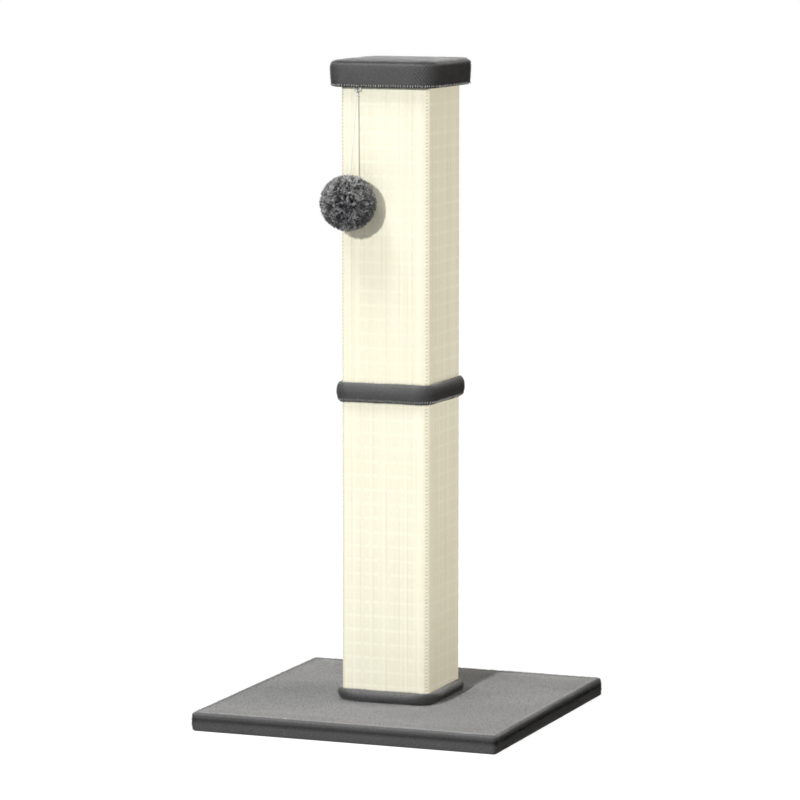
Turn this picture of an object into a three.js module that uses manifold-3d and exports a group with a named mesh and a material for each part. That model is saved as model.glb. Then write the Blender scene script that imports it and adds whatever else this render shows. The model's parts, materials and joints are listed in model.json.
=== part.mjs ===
// A free-standing cat scratching post: a plush-covered base plate, a square box post in two halves wrapped
// in woven sisal mat, padded plush collars at the foot and over the joint, a padded plush cap, and a curly
// pile ball on a cord under the cap's front edge.
//
// Millimetres, +Z up. The origin is the centre of the base's underside, the front face looks along -Y.

import * as THREE from 'three';
import { mergeVertices } from 'three/addons/utils/BufferGeometryUtils.js';
import Module from 'manifold-3d';

const wasm = await Module();
wasm.setup();

// ---- driving dimensions -------------------------------------------------------------------------------

const GAP = 0.3; // between pieces that touch

const BASE_SIDE = 400;
const BASE_CORNER = 6; // plan radius of the base's corners
const BASE_EDGE = 3.2; // rounding of the plush over the board's edges
const BASE_BOARD = 18; // board thickness
const BASE_PLUSH = 2.8; // plush skin with its pile
const BASE_HEM = 28; // width of the hem folded under
const LINING = 1.4;

const POST_SIDE = 116; // outside, over the sisal
const POST_CORNER = 8;
const SISAL = 3.2; // mat thickness
const SISAL_SEAM = 0.8; // butt seam of the mat, down the middle of the back
const PANEL = 9; // board thickness of the box
const PLUG = 15; // thickness of the blocks that close the box
const LOWER_LENGTH = 386; // length of the lower half
const UPPER_LENGTH = 375;

const FOOT_HEIGHT = 14.5; // foot collar
const FOOT_STANDS = 7; // how far it stands out from the sisal
const FOOT_CORNER = 20;
const MIDDLE_HEIGHT = 25; // collar over the joint
const MIDDLE_STANDS = 8;
const MIDDLE_CORNER = 15;

const CAP_OVERHANG = 13.5; // past the sisal, all round
const CAP_CORNER = 20;
const CAP_BOARD = 12;
const CAP_FOAM = 16.5;
const CAP_PLUSH = 2.5;
const CAP_HEM = 24;
const CAP_EDGE = 8; // rounding of the cap's top edge
const CAP_HEM_EDGE = 4; // rounding where the sides turn under
const CAP_CROWN = 1.6; // how far the top swells above its edge
const CAP_DRAWN_IN = 1.2; // how far the sides pull in at the hem

const BOLT_R = 3.9; // M8 thread, drawn as a plain shank
const NUT_WALL = 0.7; // wall of a tee nut's barrel
const NUT_BARREL = 9;
const NUT_FLANGE_R = 11;
const NUT_FLANGE = 1.5;
const BASE_HEAD_R = 7.5; // hexagon head, across corners
const BASE_HEAD = 5.3;
const WASHER_R = 12;
const WASHER = 1.6;
const COUNTERBORE = 9; // depth of the recess for the head
const CAP_HEAD_R = 9;
const CAP_HEAD = 4.6;
const BOLT_PAST_NUT = 3; // thread showing past a nut

const BALL_R = 35;
const BALL_PILE = 7.5; // thickness of the curly pile skin
const BALL_X = -33; // left of the post's middle
const BALL_OFF_POST = 0.4; // between the ball and the sisal it leans on
const CORD_R = 0.8;
const CORD_DROP = 139; // from the staple to the middle of the ball
const STAPLE_WIRE_R = 0.6;
const STAPLE_SPAN = 8;
const STAPLE_LEG = 8; // how deep the legs reach into the cap's board
const LOOP_R = 2.4; // middle radius of the cord's loop
const KNOT_R = 1.8;
const TIE_R = 2.4;

// ---- levels worked out from them ----------------------------------------------------------------------

const boardBottom = BASE_PLUSH + GAP;
const boardTop = boardBottom + BASE_BOARD;
const baseTop = boardTop + GAP + BASE_PLUSH;
const lowerBottom = baseTop + GAP;
const lowerTop = lowerBottom + LOWER_LENGTH;
const upperBottom = lowerTop + GAP;
const upperTop = upperBottom + UPPER_LENGTH;
const capBottom = upperTop + GAP;
const capBoardBottom = capBottom + CAP_PLUSH + GAP;
const capBoardTop = capBoardBottom + CAP_BOARD;
const foamBottom = capBoardTop + GAP;
const foamTop = foamBottom + CAP_FOAM;
const capTop = foamTop + GAP + CAP_PLUSH;
const middleBottom = (lowerTop + upperBottom - MIDDLE_HEIGHT) / 2;

const nutBoreR = BOLT_R + GAP;
const nutBarrelR = nutBoreR + NUT_WALL;

const boxSide = POST_SIDE - 2 * (SISAL + GAP);
const boxCorner = POST_CORNER - SISAL - GAP;
const boxInside = boxSide - 2 * PANEL;
const plugSide = boxInside - 2 * GAP;

const capSide = POST_SIDE + 2 * CAP_OVERHANG;
const capInside = capSide - 2 * (CAP_PLUSH + CAP_DRAWN_IN);
const capBoardSide = capInside - 2 * GAP;

// ---- shapes -------------------------------------------------------------------------------------------

const QUARTER_STEPS = 6; // steps in each rounded corner
const LEAST_CORNER = 0.5; // a corner that an edge rounds away keeps this radius

/** Outline of a square with rounded corners, anticlockwise, as [x, y] points. */
function squareOutline(side, radius, steps = QUARTER_STEPS) {
  const centre = side / 2 - radius;
  const points = [];
  for (let corner = 0; corner < 4; corner += 1) {
    const towards = Math.PI / 4 + (corner * Math.PI) / 2;
    const middleX = Math.sign(Math.cos(towards)) * centre;
    const middleY = Math.sign(Math.sin(towards)) * centre;
    for (let step = 0; step <= steps; step += 1) {
      const angle = (corner + step / steps) * (Math.PI / 2);
      points.push([middleX + radius * Math.cos(angle), middleY + radius * Math.sin(angle)]);
    }
  }
  return points;
}

/** Outline of a regular polygon as [x, y] points. */
function polygon(sides, radius) {
  const points = [];
  for (let corner = 0; corner < sides; corner += 1) {
    const angle = (corner * 2 * Math.PI) / sides;
    points.push([radius * Math.cos(angle), radius * Math.sin(angle)]);
  }
  return points;
}

function asVectors(points) {
  return points.map(([x, y]) => new THREE.Vector2(x, y));
}

function circleHole(x, y, radius) {
  const path = new THREE.Path();
  path.absarc(x, y, radius, 0, 2 * Math.PI, true);
  return path;
}

/** A flat plate of the given outline from bottom to top, with holes that go through it. */
function plate(outline, bottom, top, holes = [], curveSegments = 12) {
  const shape = new THREE.Shape(asVectors(outline));
  shape.holes.push(...holes);
  const settings = { depth: top - bottom, bevelEnabled: false, curveSegments };
  const geometry = new THREE.ExtrudeGeometry(shape, settings);
  geometry.translate(0, 0, bottom);
  return geometry;
}

/** A solid of revolution about the Z axis from [radius, z] points. */
function turned(profile, segments = 24) {
  const points = profile.map(([radius, z]) => new THREE.Vector2(radius, z));
  const geometry = new THREE.LatheGeometry(points, segments);
  geometry.rotateX(Math.PI / 2);
  return geometry;
}

/** A ring or tube of revolution: the profile closes on itself and keeps off the axis. */
function turnedRing(profile, segments = 24) {
  return turned([...profile, profile[0]], segments);
}

/** Levels of a rounded edge between a side wall and a flat: a quarter circle in side and height. */
function roundedEdge(side, corner, z, radius, up, steps = 4) {
  const levels = [];
  for (let step = 0; step <= steps; step += 1) {
    const angle = (step / steps) * (Math.PI / 2);
    const inset = radius * (1 - Math.cos(angle));
    const rise = radius * Math.sin(angle);
    levels.push([side - 2 * inset, Math.max(corner - inset, LEAST_CORNER), z + (up ? rise : -rise)]);
  }
  return up ? levels : levels.reverse();
}

/**
 * A skin through rounded squares, one per [side, radius, z]. A closed loft joins its last square to its
 * first, an open one closes each end with a fan.
 */
function loft(levels, closed, steps = QUARTER_STEPS) {
  const positions = [];
  const triangles = [];
  const count = 4 * (steps + 1);
  for (const [side, radius, z] of levels) {
    for (const [x, y] of squareOutline(side, radius, steps)) positions.push(x, y, z);
  }
  const rings = closed ? levels.length : levels.length - 1;
  for (let ring = 0; ring < rings; ring += 1) {
    const here = ring * count;
    const above = ((ring + 1) % levels.length) * count;
    for (let point = 0; point < count; point += 1) {
      const next = (point + 1) % count;
      triangles.push(here + point, here + next, above + next);
      triangles.push(here + point, above + next, above + point);
    }
  }
  if (!closed) {
    const last = levels.length - 1;
    const bottomMiddle = positions.length / 3;
    positions.push(0, 0, levels[0][2], 0, 0, levels[last][2]);
    for (let point = 0; point < count; point += 1) {
      const next = (point + 1) % count;
      triangles.push(bottomMiddle, next, point);
      triangles.push(bottomMiddle + 1, last * count + point, last * count + next);
    }
  }
  const geometry = new THREE.BufferGeometry();
  geometry.setAttribute('position', new THREE.Float32BufferAttribute(positions, 3));
  geometry.setIndex(triangles);
  return geometry;
}

function toSolid(geometry) {
  const bare = geometry.clone();
  bare.deleteAttribute('normal');
  bare.deleteAttribute('uv');
  const merged = mergeVertices(bare, 1e-4);
  return new wasm.Manifold(new wasm.Mesh({
    numProp: 3,
    vertProperties: new Float32Array(merged.attributes.position.array),
    triVerts: new Uint32Array(merged.index.array),
  }));
}

function fromSolid(solid) {
  const mesh = solid.getMesh();
  const geometry = new THREE.BufferGeometry();
  geometry.setAttribute('position', new THREE.Float32BufferAttribute(mesh.vertProperties, 3));
  geometry.setIndex(Array.from(mesh.triVerts));
  return geometry;
}

/** The first geometry with the others cut out of it. */
function cut(geometry, ...tools) {
  let solid = toSolid(geometry);
  for (const tool of tools) solid = solid.subtract(toSolid(tool));
  return fromSolid(solid);
}

function join(first, ...others) {
  let solid = toSolid(first);
  for (const other of others) solid = solid.add(toSolid(other));
  return fromSolid(solid);
}

function rod(radius, bottom, top, segments = 24) {
  return turned([[0, bottom], [radius, bottom], [radius, top], [0, top]], segments);
}

// ---- materials ----------------------------------------------------------------------------------------

const looks = {
  plush: { color: 0x6c6c6e, roughness: 1 },
  sisal: { color: 0xf3eed8, roughness: 0.9 },
  fibreboard: { color: 0xb08d63, roughness: 0.8 },
  nonwoven: { color: 0x2b2b2d, roughness: 1 },
  foam: { color: 0xe6e2d2, roughness: 1 },
  zinc: { color: 0xb9bcc0, roughness: 0.35, metalness: 0.9 },
  cord: { color: 0xf2f1ec, roughness: 0.8 },
  pile: { color: 0x4a4a4e, roughness: 1 },
  wadding: { color: 0xe9e9e6, roughness: 1 },
};

const part = new THREE.Group();

function add(parent, name, look, geometry) {
  const mesh = new THREE.Mesh(geometry, new THREE.MeshStandardMaterial(looks[look]));
  mesh.name = name;
  parent.add(mesh);
  return mesh;
}

// ---- base ---------------------------------------------------------------------------------------------

function buildBase() {
  const boardSide = BASE_SIDE - 2 * (BASE_PLUSH + GAP);
  const boardCorner = BASE_CORNER - BASE_PLUSH - GAP;
  const boltHole = BOLT_R + 2 * GAP;
  const recessR = WASHER_R + 1;
  const washerTop = boardBottom + COUNTERBORE - GAP;
  const headTop = washerTop - WASHER - GAP;
  const nutBottom = lowerBottom + PLUG + GAP;

  const board = cut(
    plate(squareOutline(boardSide, boardCorner), boardBottom, boardTop, [circleHole(0, 0, boltHole)]),
    rod(recessR, boardBottom - 1, boardBottom + COUNTERBORE),
  );
  add(part, 'base_board', 'fibreboard', board);

  const outer = loft([
    ...roundedEdge(BASE_SIDE, BASE_CORNER, BASE_EDGE, BASE_EDGE, false),
    ...roundedEdge(BASE_SIDE, BASE_CORNER, baseTop - BASE_EDGE, BASE_EDGE, true),
  ], false);
  const pocketOutline = squareOutline(boardSide + 2 * GAP, boardCorner + GAP);
  const pocket = plate(pocketOutline, BASE_PLUSH, boardTop + GAP);
  const window = BASE_SIDE - 2 * BASE_HEM;
  const opening = plate(squareOutline(window, BASE_CORNER), -1, BASE_PLUSH + 1);
  const bore = rod(boltHole, boardTop, baseTop + 1);
  add(part, 'base_cover', 'plush', cut(outer, pocket, opening, bore));

  const lining = plate(
    squareOutline(window - 2 * GAP, BASE_CORNER - GAP),
    BASE_PLUSH - LINING,
    BASE_PLUSH,
    [circleHole(0, 0, recessR)],
  );
  add(part, 'base_lining', 'nonwoven', lining);

  const head = plate(polygon(6, BASE_HEAD_R), headTop - BASE_HEAD, headTop);
  const shank = rod(BOLT_R, headTop - 1, nutBottom + NUT_FLANGE + BOLT_PAST_NUT);
  add(part, 'base_bolt', 'zinc', join(head, shank));

  const washerBottom = washerTop - WASHER;
  const washer = turnedRing([
    [BOLT_R + GAP, washerBottom],
    [WASHER_R, washerBottom],
    [WASHER_R, washerTop],
    [BOLT_R + GAP, washerTop],
  ]);
  add(part, 'base_washer', 'zinc', washer);
}

// ---- one half of the post -----------------------------------------------------------------------------

/** Front or back board, its two outer edges rounded for the mat. side is -1 in front and 1 behind. */
function widePanel(side, bottom, top) {
  const outerY = (side * boxSide) / 2;
  const half = boxSide / 2;
  const points = [];
  for (let step = 0; step <= QUARTER_STEPS; step += 1) {
    const angle = (step / QUARTER_STEPS) * (Math.PI / 2);
    const x = half - boxCorner + boxCorner * Math.sin(angle);
    points.push([x, outerY - side * boxCorner * (1 - Math.cos(angle))]);
  }
  const mirrored = points.map(([x, y]) => [-x, y]).reverse();
  const innerY = outerY - side * PANEL;
  const outline = [[-half, innerY], ...mirrored, ...points, [half, innerY]];
  return plate(side > 0 ? outline.reverse() : outline, bottom, top);
}

/** Left or right board, between the wide ones. side is -1 on the left and 1 on the right. */
function narrowPanel(side, bottom, top) {
  const outerX = (side * boxSide) / 2;
  const innerX = outerX - side * PANEL;
  const half = boxInside / 2 - GAP;
  const low = Math.min(outerX, innerX);
  const high = Math.max(outerX, innerX);
  return plate([[low, -half], [high, -half], [high, half], [low, half]], bottom, top);
}

/** A tee nut: the barrel goes into the plug and the flange lies on the plug's inner face. */
function teeNut(plugFace, into) {
  const seat = plugFace - into * GAP;
  const flangeTop = seat - into * NUT_FLANGE;
  const barrelEnd = seat + into * NUT_BARREL;
  const profile = [
    [nutBoreR, barrelEnd],
    [nutBarrelR, barrelEnd],
    [nutBarrelR, seat],
    [NUT_FLANGE_R, seat],
    [NUT_FLANGE_R, flangeTop],
    [nutBoreR, flangeTop],
  ];
  return turnedRing(into < 0 ? profile : profile.reverse());
}

function sisalSleeve(bottom, top) {
  const outer = squareOutline(POST_SIDE, POST_CORNER);
  const inner = squareOutline(POST_SIDE - 2 * SISAL, POST_CORNER - SISAL);
  const ring = plate(outer, bottom, top, [new THREE.Path(asVectors(inner))]);
  const seam = plate([
    [-SISAL_SEAM / 2, 0],
    [SISAL_SEAM / 2, 0],
    [SISAL_SEAM / 2, POST_SIDE],
    [-SISAL_SEAM / 2, POST_SIDE],
  ], bottom - 1, top + 1);
  return cut(ring, seam);
}

function buildHalf(name, bottom, top) {
  add(part, `${name}_front_panel`, 'fibreboard', widePanel(-1, bottom, top));
  add(part, `${name}_back_panel`, 'fibreboard', widePanel(1, bottom, top));
  add(part, `${name}_left_panel`, 'fibreboard', narrowPanel(-1, bottom, top));
  add(part, `${name}_right_panel`, 'fibreboard', narrowPanel(1, bottom, top));

  const plugOutline = squareOutline(plugSide, 1, 1);
  const plugHole = nutBarrelR + GAP;
  const lowPlug = plate(plugOutline, bottom, bottom + PLUG, [circleHole(0, 0, plugHole)]);
  const highPlug = plate(plugOutline, top - PLUG, top, [circleHole(0, 0, plugHole)]);
  add(part, `${name}_bottom_plug`, 'fibreboard', lowPlug);
  add(part, `${name}_top_plug`, 'fibreboard', highPlug);
  add(part, `${name}_bottom_nut`, 'zinc', teeNut(bottom + PLUG, -1));
  add(part, `${name}_top_nut`, 'zinc', teeNut(top - PLUG, 1));
  add(part, `${name}_sisal`, 'sisal', sisalSleeve(bottom, top));
}

function buildStud() {
  const reach = PLUG + GAP + NUT_FLANGE + BOLT_PAST_NUT;
  add(part, 'joining_stud', 'zinc', rod(BOLT_R, lowerTop - reach, upperBottom + reach));
}

// ---- collars ------------------------------------------------------------------------------------------

/** A padded strip round the post: a plump outer side and a flat inner side against the sisal. */
function collar(bottom, height, stands, corner) {
  const innerSide = POST_SIDE + 2 * GAP;
  const innerCorner = POST_CORNER + GAP;
  const thickness = stands - GAP;
  const outerSteps = 10;
  const squareness = 2.6; // exponent of the plump profile, where 2 is an ellipse
  const lipShare = 0.12; // the strip's top and bottom lips, as a share of its thickness
  const levels = [];
  for (let step = 0; step <= outerSteps; step += 1) {
    const angle = -Math.PI / 2 + (step / outerSteps) * Math.PI;
    const out = Math.abs(Math.cos(angle)) ** (2 / squareness);
    const rise = Math.sign(Math.sin(angle)) * Math.abs(Math.sin(angle)) ** (2 / squareness);
    levels.push([
      innerSide + 2 * thickness * Math.max(out, lipShare),
      innerCorner + (corner - innerCorner) * out,
      bottom + (height / 2) * (1 + rise),
    ]);
  }
  levels.push([innerSide, innerCorner, bottom + height]);
  levels.push([innerSide, innerCorner, bottom]);
  return loft(levels, true);
}

// ---- cap ----------------------------------------------------------------------------------------------

/** A level of the cap's side, that far in from its widest outline. */
function capLevel(inset, z) {
  return [capSide - 2 * inset, CAP_CORNER - inset, z];
}

/** The padded cap's outer form: sides drawn in at the hem, a round top edge and a crowned top. */
function capForm() {
  const sideHeight = capTop - CAP_CROWN - CAP_EDGE - capBottom;
  const [hemSide, hemCorner] = capLevel(CAP_DRAWN_IN, capBottom);
  const levels = [
    ...roundedEdge(hemSide, hemCorner, capBottom + CAP_HEM_EDGE, CAP_HEM_EDGE, false),
    capLevel(CAP_DRAWN_IN / 3, capBottom + sideHeight / 2),
    capLevel(0, capBottom + (3 * sideHeight) / 4),
    ...roundedEdge(capSide, CAP_CORNER, capBottom + sideHeight, CAP_EDGE, true, 5),
  ];
  const [edgeSide, edgeCorner, edgeTop] = levels[levels.length - 1];
  const crownRings = 4;
  for (let ring = 1; ring <= crownRings; ring += 1) {
    const share = 1 - ring / (crownRings + 1);
    const swell = CAP_CROWN * (1 - share ** 2.5);
    levels.push([edgeSide * share, Math.max(edgeCorner * share, 1), edgeTop + swell]);
  }
  return loft(levels, false);
}

function buildCap() {
  const insideCorner = CAP_CORNER - CAP_PLUSH - CAP_DRAWN_IN;
  const boardCorner = insideCorner - GAP;
  const boltHole = BOLT_R + 2 * GAP;
  const headTop = capBoardTop - GAP;

  const sinkR = CAP_HEAD_R + boltHole - BOLT_R;
  const sink = turned([
    [0, headTop - CAP_HEAD],
    [boltHole, headTop - CAP_HEAD],
    [sinkR, headTop],
    [sinkR, capBoardTop + 1],
    [0, capBoardTop + 1],
  ]);
  const legHoles = stapleLegs(STAPLE_WIRE_R + GAP, capBottom - 1, capBoardBottom + STAPLE_LEG + GAP);
  const boardOutline = squareOutline(capBoardSide, boardCorner);
  const board = plate(boardOutline, capBoardBottom, capBoardTop, [circleHole(0, 0, boltHole)]);
  add(part, 'cap_board', 'fibreboard', cut(board, sink, ...legHoles));

  const foamEdge = CAP_EDGE - CAP_PLUSH;
  const foamWall = foamTop - CAP_CROWN - foamEdge;
  const foam = loft([
    [capBoardSide, boardCorner, foamBottom],
    ...roundedEdge(capBoardSide, boardCorner, foamWall, foamEdge, true),
    [capBoardSide / 2, boardCorner / 2, foamTop - CAP_CROWN / 2],
  ], false);
  add(part, 'cap_foam', 'foam', foam);

  const insideWall = foamWall + GAP;
  const inside = loft([
    [capInside, insideCorner, capBottom + CAP_PLUSH],
    ...roundedEdge(capInside, insideCorner, insideWall, foamEdge, true),
    [capInside / 2, insideCorner / 2, foamTop - CAP_CROWN / 2 + GAP],
  ], false);
  const windowOutline = squareOutline(capSide - 2 * CAP_HEM, BASE_CORNER);
  const window = plate(windowOutline, capBottom - 1, capBottom + CAP_PLUSH + 1);
  add(part, 'cap_cover', 'plush', cut(capForm(), inside, window, ...legHoles));

  const boltEnd = upperTop - PLUG - GAP - NUT_FLANGE - BOLT_PAST_NUT;
  const bolt = turned([
    [0, boltEnd],
    [BOLT_R, boltEnd],
    [BOLT_R, headTop - CAP_HEAD],
    [CAP_HEAD_R, headTop],
    [0, headTop],
  ]);
  add(part, 'cap_bolt', 'zinc', bolt);
}

// ---- toy ----------------------------------------------------------------------------------------------

const stapleY = -(POST_SIDE + capBoardSide) / 4; // midway between the sisal and the edge of the cap's board
const stapleZ = capBottom - LOOP_R - CORD_R - GAP; // the loop turns under the hem
const ballY = -POST_SIDE / 2 - BALL_OFF_POST - BALL_R;
const cordLean = Math.asin((stapleY - ballY) / CORD_DROP); // from upright, away from the post

function stapleLegs(radius, bottom, top) {
  return [-1, 1].map((side) => {
    const leg = rod(radius, bottom, top, 10);
    leg.translate(BALL_X + (side * STAPLE_SPAN) / 2, stapleY, 0);
    return leg;
  });
}

function buildStaple() {
  const crown = rod(STAPLE_WIRE_R, -STAPLE_SPAN / 2 - STAPLE_WIRE_R, STAPLE_SPAN / 2 + STAPLE_WIRE_R, 10);
  crown.rotateY(Math.PI / 2);
  crown.translate(BALL_X, stapleY, stapleZ);
  const legs = stapleLegs(STAPLE_WIRE_R, stapleZ, capBoardBottom + STAPLE_LEG);
  add(part, 'cord_staple', 'zinc', join(crown, ...legs));
}

/** The toy hangs in its own frame: its origin is the staple's crown, and -Z runs down the leaning cord. */
function buildToy() {
  const toy = new THREE.Group();
  toy.position.set(BALL_X, stapleY, stapleZ);
  toy.rotation.x = -cordLean;
  part.add(toy);

  const loopInner = LOOP_R - CORD_R;
  const loopMiddle = STAPLE_WIRE_R + GAP - loopInner;
  const loop = new THREE.TorusGeometry(LOOP_R, CORD_R, 8, 20);
  loop.rotateY(Math.PI / 2);
  loop.translate(0, 0, loopMiddle);
  add(toy, 'cord_loop', 'cord', loop);

  const knotMiddle = loopMiddle - LOOP_R - CORD_R - GAP - KNOT_R;
  const knot = new THREE.SphereGeometry(KNOT_R, 12, 8);
  knot.rotateX(Math.PI / 2);
  knot.translate(0, 0, knotMiddle);
  add(toy, 'cord_knot', 'cord', knot);

  const ballTop = -CORD_DROP + BALL_R;
  const tieMiddle = ballTop - BALL_PILE + TIE_R + GAP;
  const cordTop = knotMiddle - KNOT_R - GAP;
  const cordBottom = tieMiddle + TIE_R + GAP;
  const cordStep = 2.5 * 2 * CORD_R;
  const route = new THREE.LineCurve3(new THREE.Vector3(0, 0, cordTop), new THREE.Vector3(0, 0, cordBottom));
  const section = new THREE.Shape(asVectors(polygon(8, CORD_R)));
  const cord = new THREE.ExtrudeGeometry(section, {
    steps: Math.ceil((cordTop - cordBottom) / cordStep),
    extrudePath: route,
  });
  add(toy, 'toy_cord', 'cord', cord);

  const tie = new THREE.SphereGeometry(TIE_R, 12, 8);
  tie.rotateX(Math.PI / 2);
  tie.translate(0, 0, tieMiddle);
  add(toy, 'ball_tie', 'cord', tie);

  const stuffingR = BALL_R - BALL_PILE - GAP;
  const stuffing = new THREE.SphereGeometry(stuffingR, 24, 16);
  stuffing.rotateX(Math.PI / 2);
  stuffing.translate(0, 0, -CORD_DROP);
  add(toy, 'ball_stuffing', 'wadding', stuffing);

  const shell = new THREE.SphereGeometry(BALL_R, 28, 18);
  shell.rotateX(Math.PI / 2);
  shell.translate(0, 0, -CORD_DROP);
  const hollow = new THREE.SphereGeometry(BALL_R - BALL_PILE, 24, 16);
  hollow.rotateX(Math.PI / 2);
  hollow.translate(0, 0, -CORD_DROP);
  const mouth = rod(TIE_R + GAP, -CORD_DROP, ballTop + 1, 12);
  add(toy, 'ball_cover', 'pile', cut(shell, hollow, mouth));
}

// ---- assembly -----------------------------------------------------------------------------------------

buildBase();
buildHalf('lower', lowerBottom, lowerTop);
buildStud();
buildHalf('upper', upperBottom, upperTop);
add(part, 'foot_collar', 'plush', collar(lowerBottom, FOOT_HEIGHT, FOOT_STANDS, FOOT_CORNER));
add(part, 'middle_collar', 'plush', collar(middleBottom, MIDDLE_HEIGHT, MIDDLE_STANDS, MIDDLE_CORNER));
buildCap();
buildStaple();
buildToy();

export default part;
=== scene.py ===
"""The looks of a square cat scratching post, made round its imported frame.

Metres, +Z up, the front face to -Y, where the curly ball hangs. Every piece is built in the frame's own
place, so nothing is fitted afterwards.
"""

import json
import math

import bpy
import numpy as np
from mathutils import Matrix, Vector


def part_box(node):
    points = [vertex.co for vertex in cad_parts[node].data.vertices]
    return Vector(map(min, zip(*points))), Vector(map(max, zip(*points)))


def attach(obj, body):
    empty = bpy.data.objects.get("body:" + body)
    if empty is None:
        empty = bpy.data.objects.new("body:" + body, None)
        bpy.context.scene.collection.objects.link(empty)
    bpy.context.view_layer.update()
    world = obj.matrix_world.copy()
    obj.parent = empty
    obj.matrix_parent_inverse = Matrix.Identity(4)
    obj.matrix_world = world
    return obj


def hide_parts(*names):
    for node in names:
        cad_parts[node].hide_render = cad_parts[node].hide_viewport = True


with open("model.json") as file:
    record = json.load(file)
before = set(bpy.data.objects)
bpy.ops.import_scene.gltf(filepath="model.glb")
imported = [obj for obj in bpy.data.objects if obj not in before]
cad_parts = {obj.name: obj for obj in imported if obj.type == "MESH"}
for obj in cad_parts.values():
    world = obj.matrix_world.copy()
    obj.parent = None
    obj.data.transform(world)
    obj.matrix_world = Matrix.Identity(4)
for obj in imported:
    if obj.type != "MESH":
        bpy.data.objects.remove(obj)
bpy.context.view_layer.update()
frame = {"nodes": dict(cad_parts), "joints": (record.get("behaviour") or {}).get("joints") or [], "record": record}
nodes = frame["nodes"]
joints = {joint["name"]: joint for joint in frame["joints"]}

MM = 0.001
TURN = 2 * math.pi
QUARTER = TURN / 4
UV_MAP = "OFBake"  # the name of each mesh's map of places

# ---- sizes that the frame doesn't tell ----

BASE_CORNER = 6 * MM  # plan radius of the base's corners
BASE_HEM = 28 * MM  # hem folded under
BOLT_HOLE = 4.5 * MM
LINING = 1.0 * MM
LINING_HOLE = 13 * MM  # in the lining, round the bolt's head
POST_CORNER = 8 * MM
SISAL = 3.2 * MM  # mat thickness
SISAL_SEAM = 0.8 * MM  # butt seam down the middle of the back
SISAL_RELIEF = 1.25 * MM  # from the gaps between the yarns to their tops
WARP_PITCH = 5.7 * MM  # upright yarns of the mat
WEFT_PITCH = 4.4 * MM  # yarns across them
MARKED_WEFT = 4  # one yarn across in so many lies on top, as a pale line
FOOT_CORNER = 35 * MM  # plan radius of the foot collar's plump corners
MIDDLE_CORNER = 23 * MM
CAP_CORNER = 20 * MM
CAP_SEAM = 3.4 * MM  # from the cap's top down to the seam round it
CAP_HEM = 24 * MM
CAP_EDGE = 6 * MM  # rounding of the cap's top edge
CAP_HEM_EDGE = 4 * MM
CAP_DRAWN_IN = 1.2 * MM  # how far the sides pull in at the hem
CORD_RADIUS = 0.8 * MM
LOOP_RADIUS = 2.4 * MM
BALL_CURLS = 7.5 * MM  # thickness of the ball's curly skin
BALL_MOUTH = 2.6 * MM  # radius of the hole round the tie
CLEAR = 0.15 * MM  # between a skin and the board in it
SUNK = 1.0 * MM  # how far a plush skin lies under the tips of its pile
PILE_LENGTH = 2.2 * MM
PILE_WIDTH = 0.5 * MM
PILE_CLEAR = 1.3 * MM  # the tips of the base's pile stay this far off the floor
STITCH_PITCH = 3.2 * MM
STITCH_REACH = 1.4 * MM  # from a stitch's middle to its end
STITCH_RADIUS = 0.42 * MM
STITCH_PROUD = 1.5 * MM  # how far it stands off the skin, among the pile
STITCH_SLANT = 0.15

# ---- camera ----

CAMERA_AZIMUTH = math.radians(21.2)  # to the right of the front
CAMERA_DISTANCE = 5.15  # level distance from the post's axis
CAMERA_HEIGHT = 1.034
CAMERA_PITCH = math.radians(7.064)  # down
CAMERA_YAW = math.radians(0.012)
LENS = 187.8
SENSOR = 36


def link(name, data):
    made = bpy.data.objects.new(name, data)
    bpy.context.scene.collection.objects.link(made)
    return made


def make_camera():
    camera = link("camera", bpy.data.cameras.new("camera"))
    camera.data.sensor_width = SENSOR
    camera.data.lens = LENS
    a = CAMERA_AZIMUTH
    camera.location = (CAMERA_DISTANCE * math.sin(a), -CAMERA_DISTANCE * math.cos(a), CAMERA_HEIGHT)
    camera.rotation_euler = (QUARTER - CAMERA_PITCH, 0, a + CAMERA_YAW)
    bpy.context.scene.camera = camera


# ---- meshes ----


def middle_of(node):
    low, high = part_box(node)
    return np.array((low + high) / 2)


def half_width(node):
    low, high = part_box(node)
    return (high.x - low.x) / 2


def mesh_object(name, points, faces, uv=None, normals=None, **attributes):
    """An object of these points and faces: one array, or a list of arrays for faces with different numbers
    of corners. uv has a row for each face's corner; normals and attributes have one for each point."""
    groups = [np.asarray(f, np.int32) for f in (faces if isinstance(faces, list) else [faces])]
    corners = np.concatenate([f.ravel() for f in groups])
    counts = np.concatenate([np.full(len(f), f.shape[1]) for f in groups])
    starts = np.concatenate([[0], np.cumsum(counts)[:-1]]).astype(np.int32)
    mesh = bpy.data.meshes.new(name)
    mesh.vertices.add(len(points))
    mesh.vertices.foreach_set("co", np.asarray(points, np.float32).ravel())
    mesh.loops.add(len(corners))
    mesh.loops.foreach_set("vertex_index", corners)
    mesh.polygons.add(len(starts))
    mesh.polygons.foreach_set("loop_start", starts)
    mesh.polygons.foreach_set("use_smooth", np.ones(len(starts), bool))
    mesh.update(calc_edges=True)
    if uv is not None:
        layer = mesh.uv_layers.new(name=UV_MAP)
        layer.uv.foreach_set("vector", np.asarray(uv, np.float32).ravel())
    for key, values in attributes.items():
        attribute = mesh.attributes.new(key, "FLOAT", "POINT")
        attribute.data.foreach_set("value", np.asarray(values, np.float32).ravel())
    if normals is not None:
        mesh.normals_split_custom_set_from_vertices(np.asarray(normals, np.float32))
    return link(name, mesh)


def unit(vectors):
    return vectors / np.maximum(np.linalg.norm(vectors, axis=-1, keepdims=True), 1e-12)


def round_length(half, corner):
    """The way round a rounded square."""
    return 8 * (half - corner) + 4 * corner * QUARTER


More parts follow.
